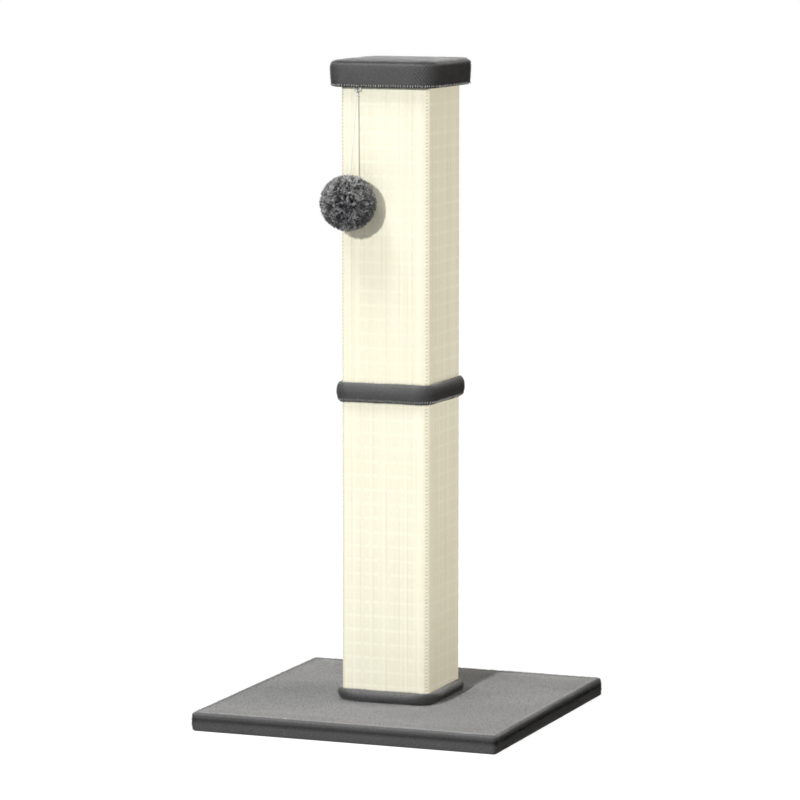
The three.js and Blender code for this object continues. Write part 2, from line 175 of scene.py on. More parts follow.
def stations(half, corner, walked):
    """The places that far round a rounded square, anticlockwise from the middle of its back: the side,
    how far along its straight run, from -1 to 1, and how far round the corner."""
    flat, arc = 2 * (half - corner), corner * QUARTER
    side, rest = np.divmod(walked + flat / 2, flat + arc)
    along = np.minimum(rest, flat) / flat * 2 - 1
    turn = np.maximum(rest - flat, 0) / corner
    return side * QUARTER, along, turn


def even_stations(half, corner, count):
    return stations(half, corner, np.arange(count) / count * round_length(half, corner))


def ring(places, half, corner, z):
    """A ring of points at these places of a rounded square."""
    angle, along, turn = places
    straight = half - corner
    x = -along * straight - corner * np.sin(turn)
    y = straight + corner * np.cos(turn)
    c, s = np.cos(angle), np.sin(angle)
    return np.stack([x * c - y * s, x * s + y * c, np.zeros_like(x) + z], 1)


def rings(places, levels):
    """A grid of rings, for each level of which there is a half width, a corner's radius and a height."""
    return np.array([ring(places, *level) for level in levels])


def outwards(places):
    angle, _, turn = places
    return np.stack([-np.sin(angle + turn), np.cos(angle + turn), np.zeros_like(turn)], 1)


def rounded(inset, z, radius, start, end, steps):
    """(inset, z) of the points of an arc about (inset, z), where 0 degrees is outwards and 90 is up."""
    angles = np.radians(np.linspace(start, end, steps + 1))
    return [(inset - radius * math.cos(a), z + radius * math.sin(a)) for a in angles]


def wrapped_faces(rows, columns, close_rows):
    """Faces of a grid whose columns close on themselves, and whose rows may, and their corners' places on
    a square map."""
    last = rows if close_rows else rows - 1
    r, c = np.meshgrid(np.arange(last), np.arange(columns), indexing="ij")
    up, on = (r + 1) % rows, (c + 1) % columns
    faces = np.stack([r * columns + c, r * columns + on, up * columns + on, up * columns + c], -1)
    u = np.stack([c, c + 1, c + 1, c], -1) / columns
    v = np.stack([r, r, r + 1, r + 1], -1) / last
    return faces.reshape(-1, 4), np.stack([u, v], -1).reshape(-1, 2)


def wrapped_object(name, grid, **attributes):
    """A closed body from rings that go all round its section."""
    faces, uv = wrapped_faces(*grid.shape[:2], True)
    return mesh_object(name, grid.reshape(-1, 3), faces, uv, **attributes)


def grid_normals(grid):
    """The outward direction at each point of rings that run anticlockwise and, outside, upwards."""
    across = np.roll(grid, -1, 1) - np.roll(grid, 1, 1)
    return unit(np.cross(across, np.gradient(grid, axis=0)))


def cell_areas(grid):
    """The area of each face between the rings of a grid."""
    a, b = grid[:-1], np.roll(grid[:-1], -1, 1)
    d, c = grid[1:], np.roll(grid[1:], -1, 1)
    return np.linalg.norm(np.cross(c - a, d - b), axis=2) / 2


def scatter(grid, count, random):
    """count random places on a grid of rings, spread evenly by area, with their outward directions."""
    area = cell_areas(grid).ravel()
    cell = np.searchsorted(np.cumsum(area) / area.sum(), random.random(count))
    r, k = np.divmod(np.minimum(cell, area.size - 1), grid.shape[1])
    k2 = (k + 1) % grid.shape[1]
    s, t = random.random((2, count, 1))

    def mixed(values):
        low = values[r, k] * (1 - s) + values[r, k2] * s
        high = values[r + 1, k] * (1 - s) + values[r + 1, k2] * s
        return low * (1 - t) + high * t

    return mixed(grid), unit(mixed(grid_normals(grid)))


def waves(points, size, random):
    """A smooth random number, mostly from -1 to 1, at each point, which changes over about that size."""
    count = 5  # plane waves laid over each other
    total = np.zeros(points.shape[:-1])
    for _ in range(count):
        pace = unit(random.normal(size=3)) * TURN / size * random.uniform(0.6, 1.4)
        total += np.sin(points @ pace + random.uniform(0, TURN))
    return total / math.sqrt(count)


def hump(values, at, spread):
    """1 where values are at that place, less and less away from it on both sides."""
    return np.exp(-(((values - at) / spread) ** 2))


def even_angles(count):
    """That many angles, spread evenly over a turn."""
    return np.arange(count) / count * TURN


def turned(side, other, count):
    """That many directions, spread evenly over a turn that starts at side and goes through other."""
    angles = even_angles(count)
    return side[..., None, :] * np.cos(angles)[:, None] + other[..., None, :] * np.sin(angles)[:, None]


def map_cells(count, places):
    """Each of count like pieces gets its own cell of a square map, in which its corners lie at places."""
    cells = math.ceil(math.sqrt(count))
    row, column = np.divmod(np.arange(count), cells)
    corner = np.stack([column, row], 1)[:, None, :] + 0.05
    return ((corner + 0.9 * np.asarray(places)[None]) / cells).reshape(-1, 2)


def strands(name, paths, radii, sides, reference, **attributes):
    """Closed tubes along paths that all have as many points. reference is a direction for each that its
    path never takes, and each attribute has a value for each point of each path."""
    n, steps, _ = paths.shape
    tangent = unit(np.gradient(paths, axis=1))
    side = unit(np.cross(tangent, reference[:, None, :]))
    around = turned(side, np.cross(tangent, side), sides)
    points = paths[:, :, None] + around * radii[:, :, None, None]
    walls, _ = wrapped_faces(steps, sides, False)
    fan = np.arange(1, sides - 1)
    start = np.stack([0 * fan, fan + 1, fan], 1)
    end = (steps - 1) * sides + np.stack([0 * fan, fan, fan + 1], 1)
    faces = np.concatenate([walls[:, [0, 1, 2]], walls[:, [0, 2, 3]], start, end])
    all_faces = (np.arange(n)[:, None, None] * steps * sides + faces).reshape(-1, 3)
    v, u = np.divmod(np.arange(steps * sides), sides)
    place = np.stack([(u + 0.5) / sides, v / (steps - 1)], 1)
    spread = {key: np.repeat(values.reshape(-1), sides) for key, values in attributes.items()}
    uv = map_cells(n, place[faces.ravel()])
    return mesh_object(name, points.reshape(-1, 3), all_faces, uv, **spread)


def walk(line):
    """How far along a line each of its points is, and at the end the whole way round to its first."""
    return np.concatenate([[0], np.cumsum(np.linalg.norm(np.roll(line, -1, 0) - line, axis=1))])


def carried(line, closed):
    """Two directions across a line at each of its points, which turn as little as they can."""
    near = np.roll(line, -1, 0) - np.roll(line, 1, 0) if closed else np.gradient(line, axis=0)
    tangent = unit(near)
    side = unit(np.cross(tangent[0], [0.31, 0.92, 0.24]))
    sides = []
    for t in tangent:
        side = unit(side - (side @ t) * t)
        sides.append(side)
    sides = np.array(sides)
    if closed:  # the turn that is left is spread over the whole loop
        left = math.atan2(sides[-1] @ np.cross(tangent[0], sides[0]), sides[-1] @ sides[0])
        spin = (-left * np.arange(len(line)) / len(line))[:, None]
        sides = sides * np.cos(spin) + np.cross(tangent, sides) * np.sin(spin)
    return sides, np.cross(tangent, sides)


def braided_tube(name, line, radius, closed=False, sides=16):
    """A cord along a line of points: a tube with the raised diamonds of a braid."""
    relief = 0.14  # of the diamonds, in radii
    plait = 5.0  # length of one turn of the braid, in radii
    across, other = carried(line, closed)
    walked = walk(line)
    total = walked[-1 if closed else -2]
    turns = max(1, round(total / (plait * radius)))
    phase = TURN * turns * walked[:-1, None] / total
    angle = even_angles(sides)
    strand = np.maximum(np.abs(np.sin(2 * angle + phase)), np.abs(np.cos(2 * angle - phase)))
    bulge = radius * (1 - relief + relief * strand)
    grid = line[:, None] + turned(across, other, sides) * bulge[:, :, None]
    faces, uv = wrapped_faces(len(line), sides, closed)
    if closed:
        return mesh_object(name, grid.reshape(-1, 3), faces, uv)
    ends = np.array([np.arange(sides)[::-1], (len(line) - 1) * sides + np.arange(sides)])
    end_map = np.tile([0.5, 0.5], (2 * sides, 1))
    return mesh_object(name, grid.reshape(-1, 3), [faces, ends], np.concatenate([uv, end_map]))


# ---- materials ----


def srgb(*levels):
    """A colour given as sRGB levels from 0 to 255, as linear numbers."""
    return (*(((x / 255 + 0.055) / 1.055) ** 2.4 if x > 10 else x / 255 / 12.92 for x in levels), 1)


def grey(level):
    return srgb(level, level, level)


def give(tree, socket, value):
    """Puts a number, a colour or another node's output into a socket."""
    if isinstance(value, bpy.types.NodeSocket):
        tree.links.new(value, socket)
    else:
        socket.default_value = value


def new_node(tree, kind, inputs=(), output=0, **settings):
    """An output of a new shader node of that kind with these inputs and settings."""
    made = tree.nodes.new("ShaderNode" + kind)
    for key, value in settings.items():
        setattr(made, key, value)
    for key, value in dict(inputs).items():
        give(tree, made.inputs[key], value)
    return made.outputs[output]


class Look:
    """A material and its nodes."""

    def __init__(self, name, roughness, **constants):
        self.name = name
        self.material = bpy.data.materials.new(name)
        self.material.use_nodes = True
        self.tree = self.material.node_tree
        self.shader = self.tree.nodes["Principled BSDF"]
        self.set(Roughness=roughness, **constants)
        self.place = self.node("TexCoord", output="Object")

    def set(self, **inputs):
        for key, value in inputs.items():
            give(self.tree, self.shader.inputs[key.replace("_", " ")], value)

    def node(self, kind, *inputs, **settings):
        return new_node(self.tree, kind, *inputs, **settings)

    def scaled(self, x, y, z):
        """The place with each direction scaled, for grain that runs one way."""
        inputs = {0: self.place, 1: (x, y, z)}
        return self.node("VectorMath", inputs, operation="MULTIPLY")

    def noise(self, size, detail=2.0, place=None, roughness=0.5):
        """Noise whose lumps are about that size."""
        inputs = {"Vector": place or self.place, "Scale": 1 / size}
        return self.node("TexNoise", {**inputs, "Detail": detail, "Roughness": roughness}, "Fac")

    def spread(self, value, low, high, to_low=0.0, to_high=1.0):
        """A value stretched so that low gives to_low and high gives to_high."""
        return self.node("MapRange", {0: value, 1: low, 2: high, 3: to_low, 4: to_high})

    def mix(self, share, a, b):
        return self.node("Mix", {0: share, 6: a, 7: b}, 2, data_type="RGBA")

    def dim(self, colour, *factors):
        """A colour times some numbers."""
        for factor in factors:
            colour = self.node("VectorMath", {0: colour, "Scale": factor}, operation="SCALE")
        return colour

    def attribute(self, name):
        return self.node("Attribute", output="Fac", attribute_name=name)

    def colour(self, value):
        self.set(Base_Color=value)

    def bump(self, height, distance, strength):
        inputs = {"Height": height, "Distance": distance, "Strength": strength}
        self.set(Normal=self.node("Bump", inputs))

    def put_on(self, piece):
        piece.data.materials.clear()
        piece.data.materials.append(self.material)


def plush_look(name, root, tip, sheen):
    """Short plush: dark at the roots as painted shade deep in the pile, lighter at the tips, brushed in drifts
    as wide as a hand, and with the painted light and shade that each piece gives it.
    """
    look = Look(name, 0.95, Specular_IOR_Level=0.1, Sheen_Weight=sheen, Sheen_Roughness=0.3)
    look.set(Sheen_Tint=grey(230))
    brushed = look.spread(look.noise(90 * MM, 1.0), 0.32, 0.68, 0.98, 1.02)
    tufts = look.spread(look.noise(3.2 * MM), 0.3, 0.7, 0.97, 1.03)
    fibre = look.spread(look.attribute("shade"), 0, 1, 0.94, 1.06)
    # painted light and shade that each piece gives its plush by how its faces turn
    tone = look.spread(look.attribute("tone"), -1, 1, 0, 2)
    # painted shade: darker towards the roots
    colour = look.mix(look.attribute("tip"), root, tip)
    look.colour(look.dim(colour, brushed, tufts, fibre, tone))
    look.bump(look.noise(0.9 * MM), 0.3 * MM, 0.3)
    return look


def sisal_look():
    """Pale sisal yarn: fine fibres along each yarn, small differences from yarn to yarn."""
    look = Look("sisal_mat", 0.85, Specular_IOR_Level=0.2, Sheen_Weight=0.15)
    across_fibres = look.noise(0.45 * MM, 3.0, look.scaled(0.12, 0.12, 1))
    upright_fibres = look.noise(0.45 * MM, 3.0, look.scaled(1, 1, 0.12))
    fibres = look.spread(look.attribute("weft"), 0, 1, upright_fibres, across_fibres)
    drift = look.spread(look.noise(90 * MM), 0.35, 0.65)
    pale = look.mix(drift, srgb(248, 246, 225), srgb(246, 242, 219))
    yarn = look.mix(look.attribute("yarn"), srgb(238, 233, 210), pale)
    # painted shade: dark brown down between the yarns and in the shaded gaps
    depth = look.mix(look.attribute("depth"), srgb(150, 130, 94), yarn)
    look.colour(look.dim(depth, look.spread(fibres, 0.3, 0.7, 0.95, 1.03)))
    look.bump(fibres, 0.3 * MM, 0.5)
    return look


def curly_look():
    """Curly pile: nearly black inside as painted shade deep in the pile, mid grey with lighter ends."""
    look = Look("curly_pile", 0.9, Specular_IOR_Level=0.15, Sheen_Weight=0.5, Sheen_Roughness=0.4)
    look.set(Sheen_Tint=grey(225))
    tuft = look.mix(look.attribute("shade"), srgb(52, 53, 62), srgb(238, 238, 236))
    # painted shade: near-black towards the roots
    colour = look.mix(look.attribute("tip"), srgb(22, 22, 26), tuft)
    look.colour(look.dim(colour, look.spread(look.noise(9 * MM), 0.3, 0.7, 0.85, 1.15)))
    look.bump(look.noise(0.5 * MM), 0.3 * MM, 0.5)
    return look


def thread_look(name, pale, dark):
    """Spun thread or cord."""
    look = Look(name, 0.7, Specular_IOR_Level=0.3, Sheen_Weight=0.2)
    fibres = look.noise(0.25 * MM, 3.0)
    look.colour(look.mix(look.spread(fibres, 0.3, 0.7), dark, pale))
    look.bump(fibres, 0.1 * MM, 0.5)
    return look


def board_look():
    """Raw fibreboard: brown, speckled with chips and fine fibres."""
    look = Look("fibreboard", 0.8, Specular_IOR_Level=0.25)
    chips = look.noise(2.4 * MM, 4.0, roughness=0.7)
    clouds = look.spread(look.noise(30 * MM), 0.3, 0.7, 0.92, 1.06)
    brown = look.mix(look.spread(chips, 0.35, 0.65), srgb(168, 135, 96), srgb(206, 178, 138))
    look.colour(look.dim(brown, clouds))
    look.bump(chips, 0.2 * MM, 0.4)
    return look


def zinc_look():
    """Zinc-plated steel, faintly brushed and clouded."""
    look = Look("zinc_steel", 0.35, Metallic=1.0)
    clouds = look.spread(look.noise(4 * MM, 3.0), 0.35, 0.65)
    look.colour(look.mix(clouds, srgb(186, 189, 194), srgb(212, 214, 217)))
    look.set(Roughness=look.spread(look.noise(1.2 * MM), 0.3, 0.7, 0.28, 0.45))
    look.bump(look.noise(0.3 * MM, place=look.scaled(1, 1, 0.1)), 0.02 * MM, 0.5)
    return look


def nonwoven_look():
    """Thin black spunbond cloth with its grid of welded dots."""
    look = Look("nonwoven", 0.85, Specular_IOR_Level=0.2)
    fibres = look.spread(look.noise(0.8 * MM, 4.0, roughness=0.7), 0.3, 0.7)
    inputs = {"Vector": look.place, "Scale": 1 / (2.5 * MM), "Randomness": 0.0}
    welded_dots_and_painted_hem_light = look.spread(look.node("TexVoronoi", inputs, "Distance"), 0.15, 0.3)
    look.colour(look.mix(welded_dots_and_painted_hem_light, grey(20), look.mix(fibres, grey(26), grey(52))))
    look.bump(welded_dots_and_painted_hem_light, 0.15 * MM, 0.6)
    return look


def foam_look():
    """Open-celled foam, with painted shade in its cells."""
    look = Look("foam", 0.9, Specular_IOR_Level=0.15)
    inputs = {"Vector": look.place, "Scale": 1 / (1.4 * MM)}
    # painted shade in the foam's cells
    depth = look.spread(look.node("TexVoronoi", inputs, "Distance"), 0.1, 0.6)
    look.colour(look.mix(depth, srgb(200, 192, 168), srgb(236, 230, 210)))
    look.bump(depth, 0.4 * MM, 0.7)
    return look


def wadding_look():
    """White polyester filling."""
    look = Look("wadding", 0.9, Specular_IOR_Level=0.1, Sheen_Weight=0.4)
    fibres = look.noise(1.2 * MM, 5.0, roughness=0.75)
    look.colour(look.mix(look.spread(fibres, 0.3, 0.7), grey(205), grey(244)))
    look.bump(fibres, 0.8 * MM, 0.8)
    return look


slot_looks = (
    plush_look("base_plush", grey(96), grey(148), sheen=0.8),
    plush_look("collar_plush", grey(92), grey(144), sheen=0.6),
    plush_look("cap_plush", grey(97), grey(146), sheen=0.5),
    sisal_look(),
    board_look(),
    nonwoven_look(),
    foam_look(),
    zinc_look(),
    thread_look("white_cord", srgb(246, 246, 240), srgb(222, 221, 212)),
    curly_look(),
    wadding_look(),
)
looks = {look.name: look for look in slot_looks}
stitch_look = thread_look("stitch_thread", grey(226), grey(175))


def dress(piece, slot, body, *stands_for):
    """Gives a piece its body, its material and the frame's nodes that it stands for."""
    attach(piece, body)
    looks[slot].put_on(piece)
    if stands_for:
        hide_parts(*stands_for)


# ---- plush and stitches ----

FIBRE_FACES = np.array([[0, 1, 3], [1, 2, 3], [2, 0, 3], [0, 2, 1]])
FIBRE_MAP = [(0, 0), (1, 0), (0.5, 1)] * 3 + [(0, 0), (1, 0), (0.5, 0.1)]


def brushed_tone(roots, facing):
    """Painted light and shade on the nap: lighter where it faces up, darker on the two sides that face left
    and right.
    """
    return 0.2 * np.clip(facing[:, 2], 0, 1) - 0.48 * np.abs(facing[:, 0])


def napped_object(name, outer, inner, tone):
    """A closed body whose outside, a grid of rings, takes the same painted light and shade as the nap on it."""
    on_skin = tone(outer.reshape(-1, 3), grid_normals(outer).reshape(-1, 3))
    inside = np.zeros(inner[..., 0].size)
    return wrapped_object(name, np.concatenate([outer, inner]), tone=np.concatenate([on_skin, inside]))


def pile(name, slot, grid, density, seed, nap, tone, length=PILE_LENGTH, width=PILE_WIDTH, keep=None):
    """Plush pile: closed three-sided fibres on the outside of a skin. density is their number in a square
    millimetre, nap the way they lean, the next argument the light and shade painted on them, and keep
    which roots stay."""
    random = np.random.default_rng(seed)
    roots, facing = scatter(grid, round(density * cell_areas(grid).sum() / MM**2), random)
    if keep is not None:
        chosen = keep(roots, facing)
        roots, facing = roots[chosen], facing[chosen]
    n = len(roots)
    lean = nap(roots, facing) + np.stack([waves(roots, 25 * MM, random) for _ in range(3)], 1) * 0.05
    lean += random.normal(size=(n, 3)) * 0.12
    lean -= (lean * facing).sum(1, keepdims=True) * facing
    heading = unit(facing + lean)
    reach = length * random.uniform(0.75, 1.1, (n, 1))
    side = unit(np.cross(heading, random.normal(size=(n, 3))))
    foot = roots - 0.3 * MM * facing
    base = foot[:, None] + width / 2 * turned(side, np.cross(heading, side), 3)
    points = np.concatenate([base, (roots + heading * reach)[:, None]], 1)
    faces = np.arange(n)[:, None, None] * 4 + FIBRE_FACES
    coat = mesh_object(
        name,
        points.reshape(-1, 3),
        faces.reshape(-1, 3),
        map_cells(n, FIBRE_MAP),
        normals=np.repeat(unit(facing + 0.2 * heading), 4, 0),
        tip=np.tile([0, 0, 0, 1], n),
        tone=np.repeat(tone(roots, facing), 4),
        shade=np.repeat(random.uniform(0, 1, n), 4),
    )
    dress(coat, slot, "post")


def stitches(name, grid, row, seed):
    """A row of short oversewn stitches along one ring of a skin, of which the pile hides some."""
    random = np.random.default_rng(seed)
    line, normals = grid[row], grid_normals(grid)[row]
    walked = walk(line)
    count = round(walked[-1] / STITCH_PITCH)
    at = (np.arange(count) + 0.5 + random.uniform(-0.15, 0.15, count)) / count * walked[-1]

    def on_line(values):
        return np.stack([np.interp(at, walked[:-1], v, period=walked[-1]) for v in values.T], 1)

    middle, facing = on_line(line), unit(on_line(normals))
    along = unit(np.cross([0, 0, 1], facing))
    up = unit(np.cross(facing, along) + STITCH_SLANT * along)
    share = np.linspace(-1, 1, 5)[None, :, None]
    reach = random.uniform(0.7, 1.2, (count, 1, 1)) * STITCH_REACH
    lift = STITCH_PROUD * np.clip(random.normal(0.9, 0.45, (count, 1, 1)), 0.1, 1.4)
    paths = middle[:, None] + up[:, None] * share * reach
    paths += facing[:, None] * (lift - share**2 * 0.9 * MM)
    radii = np.full(paths.shape[:2], STITCH_RADIUS) * (1 - 0.3 * np.abs(share[..., 0]))
    made = strands(name, paths, radii, 5, along)
    stitch_look.put_on(made)
    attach(made, "post")


# ---- base ----


def base_skin():
    """Rings of the base's cloth, from the hem's inner edge, up the side and over the top to the bolt."""
    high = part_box("base_cover")[1]
    half, top = high.x, high.z - SUNK
    foot, edge = 3.4 * MM, 4.6 * MM  # rounding of the lower and the upper edge
    floor = 0.15 * MM
    side = 0.9 * MM  # how far the cloth of the sides stands in, under their pile
    swell = 0.4 * MM  # how far its middle stands out again
    groove = 0.7 * MM  # the cloth draws in along a line under the roll of the upper edge
    groove_at, groove_spread = 0.70, 0.17  # shares of the side's height
    dip = 0.8 * MM  # the top sinks this much inside that roll
    levels = [(inset, floor) for inset in np.linspace(BASE_HEM, foot + side, 6)[:-1]]
    levels += rounded(foot + side, foot, foot - floor, -90, 0, 4)
    for share in np.linspace(0.08, 0.95, 12):
        levels.append((side - swell * math.sin(share * math.pi), foot + share * (top - edge - foot)))
    levels += rounded(edge + side, top - edge, edge, 0, 90, 7)
    levels += [(edge + side + 1.6 * MM, top - 0.7 * dip), (edge + side + 3.2 * MM, top - dip)]
    inner = np.linspace(14 * MM, half - BOLT_HOLE, 34)  # where the dip fades to a quarter of it
    levels += [(inset, top - dip * max(0.25, 1 - (inset - 8 * MM) / (30 * MM))) for inset in inner]
    places = even_stations(half, BASE_CORNER, 480)
    around = [(half - inset, max(BASE_CORNER - inset, 1.2 * MM), z) for inset, z in levels]
    around[-1] = (BOLT_HOLE, 0.9 * BOLT_HOLE, around[-1][2])
    grid = rings(places, around)
    share = (grid[..., 2] - foot) / (top - edge - foot)
    drawn = groove * hump(share, groove_at, groove_spread) * (1 - np.abs(places[1]) ** 8)
    grid -= outwards(places) * np.where(grid[..., 2] < top - MM, drawn, 0)[..., None]
    random = np.random.default_rng(3)
    uneven = waves(grid, 110 * MM, random) * 0.12 * MM
    grid[..., 2] += uneven * (grid[..., 2] > top - 2 * MM)
    return places, grid


def make_base():
    """The base's plush: its cloth, and the pile on each side and its part of the top."""
    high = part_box("base_cover")[1]
    board_low, board_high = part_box("base_board")
    places, outer = base_skin()
    wall, above, under = board_high.x + CLEAR, board_high.z + CLEAR, board_low.z - CLEAR
    levels = [(BOLT_HOLE, 0.9 * BOLT_HOLE, above), (wall, 3 * MM, above)]
    levels += [(wall, 3 * MM, under), (high.x - BASE_HEM, 1.2 * MM, under)]

    def tone(roots, facing):
        share = roots[:, 2] / high.z
        painted_side_shade = -0.2 - 0.44 * hump(share, 0.60, 0.14)  # painted shade: the sides darker than the top, darkest in the groove
        painted_falloff_to_back = 0.19 - 0.64 * (0.5 + roots[:, 1] / (2 * high.x))  # painted light: the top lighter at the front and darker towards the back
        return 0.9 * brushed_tone(roots, facing) + np.where(facing[:, 2] < 0.5, painted_side_shade, painted_falloff_to_back)

    cover = napped_object("base_plush", outer, rings(places, levels), tone)
    dress(cover, "base_plush", "post", "base_cover")

    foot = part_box("foot_collar")[1].x - 4 * MM
    line = 0.5 * high.z  # the nap of the sides runs up above it and down below it

    def nap(roots, facing):
        lean = np.tile([0.1, 0.45, 0.0], (len(roots), 1))
        upright = facing[:, 2] < 0.5
        lean[upright] = [0, -0.9, 0.5]
        lean[upright & (roots[:, 2] < line)] = [0, -0.9, -0.4]
        return lean

    for number, name in enumerate(("right", "back", "left", "front")):

        def shows(roots, facing):
            angle = np.arctan2(roots[:, 1], roots[:, 0])
            here = np.round(angle / QUARTER).astype(int) % 4 == number
            beyond = np.abs(roots[:, :2]).max(1) > foot
            off_floor = roots[:, 2] + PILE_LENGTH * facing[:, 2] > PILE_CLEAR
            return here & beyond & off_floor

        pile(f"base_pile_{name}", "base_plush", outer, 0.95, 11 + number, nap, tone, keep=shows)


def make_lining():
    """The thin cloth that closes the base's underside inside the hem."""
    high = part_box("base_lining")[1]
    places = even_stations(high.x, BASE_CORNER, 240)
    levels = []
    for share in np.linspace(0, 1, 40):
        half = high.x - share * (high.x - LINING_HOLE)
        corner = BASE_CORNER * (1 - share) + 0.999 * half * share  # round at the hole
        levels.append((half, corner, high.z - LINING))
    under = rings(places, levels)
    random = np.random.default_rng(5)
    under[..., 2] += 0.25 * MM * waves(under, 70 * MM, random) - 0.05 * MM
    body = np.concatenate([under[::-1], under + [0, 0, 0.6 * LINING]])
    cloth = wrapped_object("base_lining_cloth", body)
    dress(cloth, "nonwoven", "post", "base_lining")


# ---- post ----


def woven(a, b, bend, random):
    """The relief, 0 to 1, of a weave a upright yarns and b yarns across along, whether the yarn on top
    runs across, its tint, and how much painted shade darkens the gap between two upright yarns. bend is 1
    where the mat folds over a corner: there the upright yarns part and show the others as beads."""
    warp_at, warp_swell, weft_at, weft_swell = 0.56, 0.26, 0.50, 0.10  # shares of the relief
    line_rise, line_dip = 0.12, 0.13  # of a marked yarn, and of the upright ones at it
    i, j = np.floor(a).astype(int), np.floor(b).astype(int)
    i, j = np.minimum(i, i.max() - 1), np.minimum(j, j.max() - 1)
    off_a, off_b = a - i - 0.5, b - j - 0.5
    warps, wefts = i.max() + 1, j.max() + 1
    warp_size, weft_size = random.normal(0, 0.05, warps), random.normal(0, 0.02, wefts)
    warp_tint, weft_tint = random.uniform(0.3, 1, warps), random.uniform(0.3, 0.8, wefts)
    weft_tint[::MARKED_WEFT] = 1.3
    marked = j % MARKED_WEFT == 0
    to_line = np.abs(((b - 0.5) / MARKED_WEFT + 0.5) % 1 - 0.5) * MARKED_WEFT
    round_a = np.sqrt(np.clip(1 - (1.96 * off_a) ** 2, 0, 1))
    round_b = np.sqrt(np.clip(1 - (2 * off_b) ** 2, 0, 1))
    warp = warp_at + warp_size[i] + 0.02 * np.cos(math.pi * (b - 0.5 + i)) + warp_swell * round_a
    warp -= line_dip * hump(to_line, 0, 0.5)
    weft = weft_at + weft_size[j] - 0.04 * np.cos(math.pi * (a - 0.5 + j)) + weft_swell * round_b
    weft += line_rise * marked * round_b
    across = (weft > warp) | (bend > 0.5)
    height = np.maximum(warp, weft)
    height = height + bend * (0.85 * round_b - height)
    gap = np.round(a).astype(int)
    # painted shade in streaks down some of the gaps between upright yarns
    gap_shade_share = random.uniform(0, 1, warps + 1)[gap] ** 1.5
    streak = np.sin(b / random.uniform(6, 14, warps + 1)[gap] + random.uniform(0, 6, warps + 1)[gap])
    painted_gap_shade = (np.abs(off_a) > 0.4) * gap_shade_share * (0.6 + 0.4 * streak)
    return height.clip(0, 1), across, np.where(across, weft_tint[j], warp_tint[i]), painted_gap_shade


def mat_faces(rows, columns):
    """Faces of a mat whose points are a grid outside and, inside, one row at the top and one at the foot:
    the grid's, those over its rim and down its back, and its two edges."""
    top, foot = rows * columns, (rows + 1) * columns
    wrapped = wrapped_faces(rows, columns, False)[0].reshape(rows - 1, columns, 4)
    outer = wrapped[:, :-1].reshape(-1, 4)  # without those across the seam
    c = np.arange(columns - 1)
    from_row_to_row = ((top - columns, top), (top, foot), (foot, 0))
    strips = [np.stack([a + c, a + c + 1, b + c + 1, b + c], 1) for a, b in from_row_to_row]
    start = np.arange(rows) * columns
    first_edge = np.concatenate([start[::-1], [foot, top]])[None]
    last_edge = np.concatenate([start, [top, foot]])[None] + columns - 1
    return [outer, np.concatenate(strips), first_edge, last_edge]


def make_sisal(name, node, seed):
    """A woven mat round the box: in relief outside, flat inside, its edges butted behind."""
    random = np.random.default_rng(seed)
    low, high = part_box(node)
    half = high.x
    length = round_length(half, POST_CORNER) - SISAL_SEAM
    warps, wefts = round(length / WARP_PITCH), round((high.z - low.z) / WEFT_PITCH)
    a = np.linspace(0, warps, 4 * warps + 1)
    b = np.linspace(0, wefts, 3 * wefts + 1)
    columns, rows = len(a), len(b)
    places = stations(half, POST_CORNER, SISAL_SEAM / 2 + a / warps * length)
    facing = outwards(places)
    grid = rings(places, [(half, POST_CORNER, z) for z in low.z + b / wefts * (high.z - low.z)])
    off_corner = np.where(places[2] > 0, (places[2] - QUARTER / 2) * POST_CORNER, half)
    bend = hump(off_corner, 0, 1.3 * MM)
    height, across, tint, painted_gap_shade = woven(*np.meshgrid(a, b), bend[None], random)
    grid += facing[None] * ((height - 1) * SISAL_RELIEF)[..., None]
    inside = rings(places, [(half - SISAL, POST_CORNER - SISAL, z) for z in (high.z, low.z)])
    points = np.concatenate([grid, inside]).reshape(-1, 3)
    u = np.tile(a / warps, rows + 2)
    v = np.repeat([*(b / wefts * 0.96), 0.97, 1], columns)
    faces = mat_faces(rows, columns)
    corners = np.concatenate([f.ravel() for f in faces])
    flat = np.full(2 * columns, 0.5)
    mat = mesh_object(
        name,
        points,
        faces,
        np.stack([u, v], 1)[corners],
        # painted shade: the low places between the yarns and the shaded gaps darker
        depth=np.concatenate([((height * 2.4).clip(0, 1) - 0.2 * painted_gap_shade).ravel(), flat]),
        weft=np.concatenate([across.ravel(), flat]),
        yarn=np.concatenate([tint.ravel(), flat]),
    )
    dress(mat, "sisal_mat", "post", node)


# ---- collars ----


def along_sides(roots, facing):
    """A nap that leans down and to the front on the sides, and back on what faces up."""
    share = np.clip(facing[:, 2:], 0, 1)
    return share * [0.1, 0.45, 0] + (1 - share) * [0, -0.9, -0.35]


